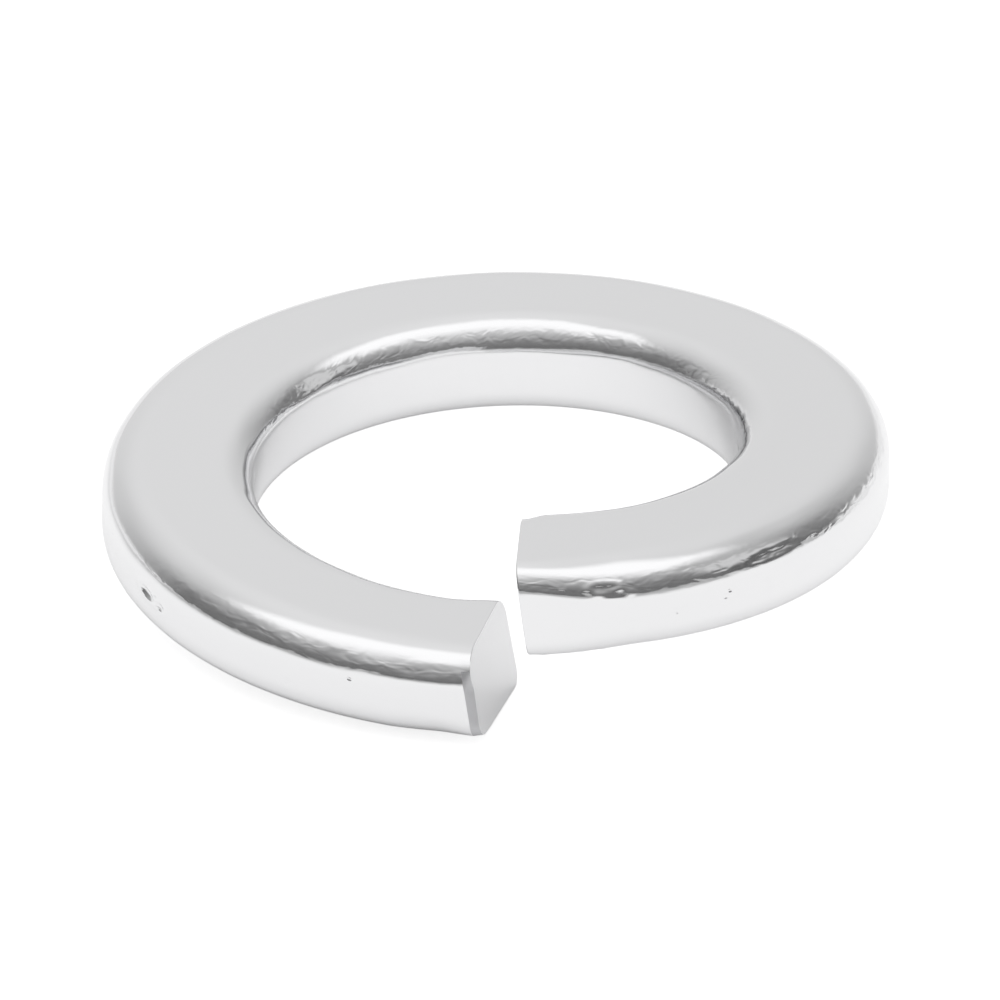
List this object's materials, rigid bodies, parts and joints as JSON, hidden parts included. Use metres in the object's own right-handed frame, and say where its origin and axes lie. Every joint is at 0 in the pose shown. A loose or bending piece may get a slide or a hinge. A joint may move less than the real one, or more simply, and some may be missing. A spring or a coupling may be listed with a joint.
{
  "type": "spring lock washer",
  "caption": "Split ring coiled from flattened spring wire, with rounded edges, offset sheared ends and a plain bore for a bolt.",
  "frame": {"origin": "on the bore's axis, at the level of the washer's lowest point", "axes": "+Z along the bore's axis, up; the gap between the ends is centred on -Y, with the low end on its -X side"},
  "size_m": [0.0268, 0.0268, 0.0068],
  "materials": {
    "zinc_plated_steel": "bright zinc plate over smooth rolled spring steel, faintly mottled on the rounded edges"
  },
  "bodies": {
    "root": {"spring_washer": "zinc_plated_steel"}
  },
  "joints": []
}
